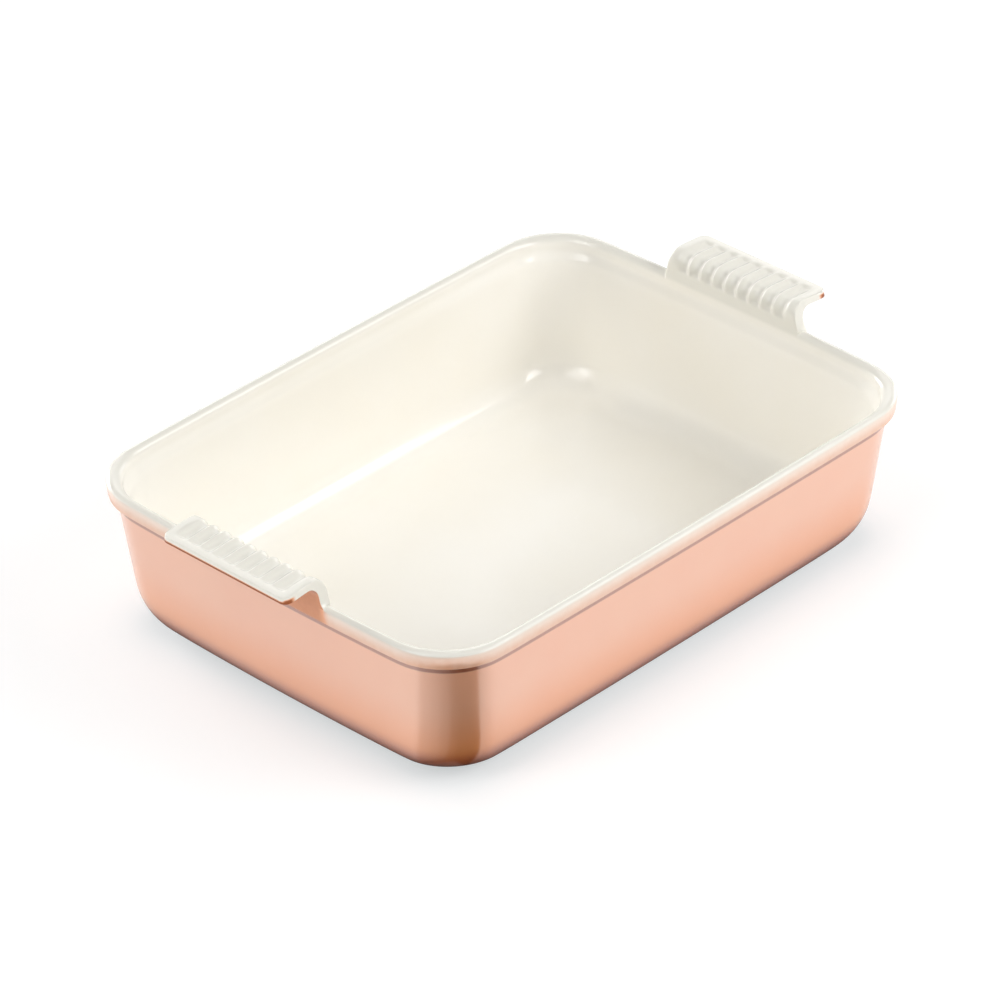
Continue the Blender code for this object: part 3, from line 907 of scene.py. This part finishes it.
def cream_glaze(dish, colours):
    """A thick glossy cream glaze with peach sprayed over its outer faces, and painted shade on its tops and
    under its lugs.
    """
    finish = Finish("cream glaze", {"IOR": GLAZE_IOR})
    cream_before_top_shade = finish.vary(colours.cream, WARM_SHADE, scale=14.0, detail=3.0)
    # Painted shade: the cream turns greyer on the rim's top and over the lugs
    top_shade_from = dish.rim_height - dish.rim_inner_radius
    edge = finish.height_share(top_shade_from, dish.rim_height - TOP_SHADE_DEPTH)
    cream = finish.blend(edge, cream_before_top_shade, colours.cream_top_shade)
    spray = finish.attribute("spray")
    mist = finish.math("MULTIPLY", spray, finish.noise(scale=260.0, detail=2.0, low=0.93, high=1.07))
    under = finish.blend(mist, cream, colours.cream_top_shade)
    thin = finish.blend(mist, under, colours.peach_light)
    # Past 1 the share turns the colour towards the dark brown: painted shade under the lugs and on the
    # lower edges of their tips
    painted_shade = finish.math("SUBTRACT", spray, 1.0, clamp=True)
    finish.feed("Base Color", finish.blend(painted_shade, thin, colours.pool_and_shade))
    finish.feed("Metallic", finish.math("MULTIPLY", mist, LUSTRE, clamp=True))
    finish.feed("Roughness", finish.noise(scale=30.0, detail=2.0, low=0.10, high=0.18))
    finish.ripple(scale=90.0, depth=0.00006)
    return finish.material


def peach_glaze(dish, colours):
    """A satin peach glaze deepening to the base, with painted shade at its foot and a bead of pooled glaze
    and painted shade under the band.
    """
    lustre = {"Metallic": LUSTRE, "Coat IOR": LUSTRE_IOR, "Coat Roughness": LUSTRE_ROUGHNESS}
    finish = Finish("peach glaze", {"IOR": GLAZE_IOR, "Coat Weight": 1.0, **lustre})
    light = finish.vary(colours.peach_light, ROSY_SHADE, scale=18.0, detail=3.0)
    ombre = finish.blend(finish.height_share(OMBRE_FOOT, OMBRE_TOP), colours.peach_deep, light)
    # Painted shade: the rounded base turns dark near the table
    wall = finish.blend(finish.height_share(FOOT_SHADE_TOP, FOOT_SHADE_LOW), ombre, colours.foot_shade_peach)
    # The bead under the band is partly pooled glaze and partly painted shade under its overhang
    groove = dish.rim_height - dish.band_height
    bead = finish.height_share(groove - colours.bead, groove - colours.bead * BEAD_CORE)
    finish.feed("Base Color", finish.blend(bead, wall, colours.pool_and_shade))
    finish.feed("Roughness", finish.noise(scale=40.0, detail=2.0, low=0.29, high=0.38))
    finish.ripple(scale=140.0, depth=0.00005)
    return finish.material


def bare_clay(colours):
    """Sandy unglazed stoneware."""
    finish = Finish("bare clay", {})
    finish.feed("Base Color", finish.vary(colours.clay, DARK_SHADE, scale=900.0, detail=4.0))
    finish.feed("Roughness", finish.noise(scale=300.0, detail=2.0, low=0.75, high=0.95))
    finish.ripple(scale=700.0, depth=0.00015)
    return finish.material


# Each piece of the dish: the CAD node that it stands for, its slot name, which decides whether it is
# sprayed, and its finish
ZONES = {
    "inside_glaze": ("inner_glaze", "cream_glaze", cream_glaze),
    "left_lug_handle": ("left_handle", "cream_glaze", cream_glaze),
    "right_lug_handle": ("right_handle", "cream_glaze", cream_glaze),
    "outer_glaze_coat": ("outer_glaze", "peach_glaze", peach_glaze),
    "underside_glaze": ("base_glaze", "peach_glaze", peach_glaze),
    "foot_ring": (None, None, None),
}

# The sensor's width in millimetres that the lens is given for
SENSOR_WIDTH = 36

# How far out the round backdrop stands, as a share of the floor's side, and its columns
BACKDROP_REACH = 0.49
BACKDROP_COLUMNS = 96

# How high the cards before the near corner and under the dish lie, their black and their dullness
CORNER_CARD_HEIGHT = 0.0005
FOOT_CARD_HEIGHT = 0.0004
CARD_BLACK = (0.01, 0.01, 0.01, 1)
DULL = 0.9

# The card before the near corner: each column's near and far end, and how dark it is
CARD_COLUMNS = (
    ((-0.142, -0.078), (-0.240, -0.085), 0.00),
    ((-0.142, -0.081), (-0.238, -0.094), 0.34),
    ((-0.142, -0.087), (-0.230, -0.121), 0.50),
    ((-0.142, -0.092), (-0.218, -0.147), 0.68),
    ((-0.141, -0.095), (-0.203, -0.175), 0.92),
    ((-0.137, -0.100), (-0.183, -0.185), 1.00),
    ((-0.127, -0.095), (-0.131, -0.192), 1.00),
    ((-0.126, -0.095), (-0.128, -0.192), 0.35),
    ((-0.116, -0.095), (-0.096, -0.192), 0.12),
    ((-0.105, -0.095), (-0.070, -0.192), 0.00),
)

# The card under the dish: how far each ring stands out past the rim, and how dark it is
FOOT_CARD_RINGS = ((0.018, 0.0), (0.004, 0.05), (-0.009, 0.30), (-0.020, 0.9))

# Every softbox is alike: a square lamp at one distance from the middle of the dish
LAMP_AIM = Vector((0, 0, 0.04))
LAMP_DISTANCE = 1.7
LAMP_SIZE = 0.8

# Each softbox: name, bearing from +X and height above the horizon in degrees, and power in watts
SOFTBOXES = (
    ("left_low", 90, 12, 19.2),
    ("right_mid", 285, 35, 10.7),
    ("right_mid_2", 315, 35, 8.0),
    ("back_low", 0, 12, 6.1),
    ("front_high", 180, 60, 5.7),
    ("front_mid", 180, 35, 5.7),
    ("left_mid", 165, 35, 4.7),
    ("right_mid_3", 300, 35, 3.2),
    ("left_low_2", 120, 12, 2.7),
    ("back_low_2", 60, 12, 2.3),
    ("back_low_3", 30, 12, 1.7),
    ("back_mid", 45, 35, 1.6),
    ("overhead", 0, 90, 1.2),
    ("back_mid_2", 30, 35, 1.1),
    ("back_mid_3", 60, 35, 1.0),
    ("back_high", 0, 60, 0.6),
)


class DISH_OT_studio(bpy.types.Operator):
    """Set up the pale floor, the soft light and the camera"""

    bl_idname = "dish.studio"
    bl_label = "Set up the studio"

    def execute(self, context):
        studio = context.scene.studio_settings
        glow = {"Emission Color": (*studio.floor_glow, 1), "Emission Strength": 1.0}
        self.lay_floor(studio, glow)
        self.raise_backdrop(studio, glow)
        self.lay_corner_card()
        self.lay_foot_card(context.scene.dish_sizes)
        self.place_camera(context, studio)
        for softbox in SOFTBOXES:
            self.hang_softbox(*softbox)
        world = bpy.data.worlds.new("studio air")
        world.use_nodes = True
        context.scene.world = world
        air = world.node_tree.nodes["Background"].inputs
        air["Color"].default_value = (1, 1, 1, 1)
        air["Strength"].default_value = 0.0
        context.scene.view_settings.view_transform = "Standard"
        return {"FINISHED"}

    def lay_floor(self, studio, glow):
        """A white acrylic floor with light under it."""
        bpy.ops.object.select_all(action="DESELECT")
        bpy.ops.mesh.primitive_plane_add(size=studio.floor_size)
        floor = bpy.context.object
        floor.name = "studio_floor"
        sockets = {"Base Color": (*studio.floor_colour, 1), "Roughness": DULL, **glow}
        floor.data.materials.append(Finish("studio floor", sockets).material)

    def raise_backdrop(self, studio, glow):
        """A round wall behind the floor, as pale as its far end, which only the camera sees."""
        reach = studio.floor_size * BACKDROP_REACH
        bpy.ops.mesh.primitive_cylinder_add(
            vertices=BACKDROP_COLUMNS, radius=reach, depth=studio.floor_size,
            end_fill_type="NOTHING", location=(0, 0, reach),
        )
        backdrop = bpy.context.object
        backdrop.name = "studio_backdrop"
        sockets = {"Base Color": (0, 0, 0, 1), "Specular IOR Level": 0.0, **glow}
        backdrop.data.materials.append(Finish("studio backdrop", sockets).material)
        backdrop.visible_diffuse = backdrop.visible_glossy = backdrop.visible_shadow = False

    def lay_corner_card(self):
        """A card on the floor that only reflections show, which draws a dark line up the near corner."""
        cuts = len(CARD_COLUMNS) - 1
        bpy.ops.mesh.primitive_grid_add(x_subdivisions=cuts, y_subdivisions=1, size=cuts)
        card = bpy.context.object
        card.name = "corner_card"
        layer = card.data.attributes.new("shade", "FLOAT", "POINT")
        for vert, value in zip(card.data.vertices, layer.data):
            near, far, shade = CARD_COLUMNS[round(vert.co.x + cuts / 2)]
            vert.co = (*(far if vert.co.y > 0 else near), CORNER_CARD_HEIGHT)
            value.value = shade
        self.finish_card(card)
        card.visible_diffuse = False

    def lay_foot_card(self, dish):
        """A card under the dish, faded at its edge, which keeps the floor's glow off the rounded base."""
        bpy.ops.mesh.primitive_plane_add(size=1, location=(0, 0, FOOT_CARD_HEIGHT))
        card = bpy.context.object
        card.name = "foot_card"
        reach = FOOT_CARD_RINGS[0][0]
        card.scale = (dish.rim_length + 2 * reach, dish.rim_width + 2 * reach, 1)
        bpy.ops.object.transform_apply(location=True, rotation=True, scale=True)
        bpy.ops.object.mode_set(mode="EDIT")
        bpy.ops.mesh.select_all(action="SELECT")
        bpy.ops.mesh.bevel(offset=dish.corner_radius + reach, segments=CORNER_SEGMENTS, affect="VERTICES")
        for outer, inner in zip(FOOT_CARD_RINGS, FOOT_CARD_RINGS[1:]):
            bpy.ops.mesh.inset(thickness=outer[0] - inner[0])
        bpy.ops.object.mode_set(mode="OBJECT")
        layer = card.data.attributes.new("shade", "FLOAT", "POINT")
        half_x = dish.rim_length / 2 - dish.corner_radius
        half_y = dish.rim_width / 2 - dish.corner_radius
        for vert, value in zip(card.data.vertices, layer.data):
            past = Vector((max(abs(vert.co.x) - half_x, 0), max(abs(vert.co.y) - half_y, 0)))
            out = past.length - dish.corner_radius
            value.value = min(FOOT_CARD_RINGS, key=lambda ring: abs(ring[0] - out))[1]
        self.finish_card(card)

    def finish_card(self, card):
        """Black, as dark as its shade says, and out of sight of the camera."""
        sockets = {"Base Color": CARD_BLACK, "Roughness": DULL, "Specular IOR Level": 0.0}
        finish = Finish(card.name, sockets)
        finish.feed("Alpha", finish.attribute("shade"))
        card.data.materials.append(finish.material)
        card.visible_camera = card.visible_shadow = False

    def hang_softbox(self, name, azimuth, elevation, power):
        """Hangs a square lamp at a bearing and a height from the dish, turned to face it."""
        turn, lift = radians(azimuth), radians(elevation)
        outward = Vector((cos(turn) * cos(lift), sin(turn) * cos(lift), sin(lift)))
        bpy.ops.object.light_add(type="AREA", location=LAMP_AIM + outward * LAMP_DISTANCE)
        lamp = bpy.context.object
        lamp.name = name
        lamp.data.size = LAMP_SIZE
        lamp.data.energy = power
        lamp.rotation_euler = (-outward).to_track_quat("-Z", "Y").to_euler()

    def place_camera(self, context, studio):
        """Looks at the dish along the photograph's view line."""
        turn, lift = studio.azimuth, studio.elevation
        back = Vector((sin(turn) * cos(lift), -cos(turn) * cos(lift), sin(lift)))
        level_right = Vector((cos(turn), sin(turn), 0))
        level_up = back.cross(level_right)
        right = level_right * cos(studio.roll) + level_up * sin(studio.roll)
        up = level_up * cos(studio.roll) - level_right * sin(studio.roll)
        aim = Vector((0, 0, studio.aim_height)) + right * studio.aim_right + up * studio.aim_up
        bpy.ops.object.camera_add(location=aim + back * studio.distance)
        camera = context.object
        camera.rotation_euler = Matrix((right, up, back)).transposed().to_euler()
        camera.data.sensor_width = SENSOR_WIDTH
        camera.data.lens = studio.lens
        context.scene.camera = camera


class DISH_PT_panel(bpy.types.Panel):
    """Lists the steps that make the dish"""

    bl_label = "Lasagna dish"
    bl_idname = "DISH_PT_panel"
    bl_space_type = "VIEW_3D"
    bl_region_type = "UI"
    bl_category = "Dish"

    def draw(self, context):
        for step in STEPS:
            self.layout.operator(step.bl_idname)


STEPS = (
    DISH_OT_cast_body,
    DISH_OT_pull_handles,
    DISH_OT_fire_clay,
    DISH_OT_part_glazes,
    DISH_OT_studio,
)
GROUPS = {
    "dish_sizes": DishSizes,
    "handle_sizes": HandleSizes,
    "glaze_colours": GlazeColours,
    "studio_settings": StudioSettings,
}


def register():
    for name, group in GROUPS.items():
        bpy.utils.register_class(group)
        setattr(bpy.types.Scene, name, bpy.props.PointerProperty(type=group))
    for step in STEPS:
        bpy.utils.register_class(step)
    bpy.utils.register_class(DISH_PT_panel)


def unregister():
    bpy.utils.unregister_class(DISH_PT_panel)
    for step in reversed(STEPS):
        bpy.utils.unregister_class(step)
    for name, group in GROUPS.items():
        delattr(bpy.types.Scene, name)
        bpy.utils.unregister_class(group)


def main():
    register()
    bpy.ops.dish.cast_body()
    bpy.ops.dish.pull_handles()
    bpy.ops.dish.fire_clay()
    bpy.ops.dish.part_glazes()
    bpy.ops.dish.studio()


if __name__ == "__main__":
    main()
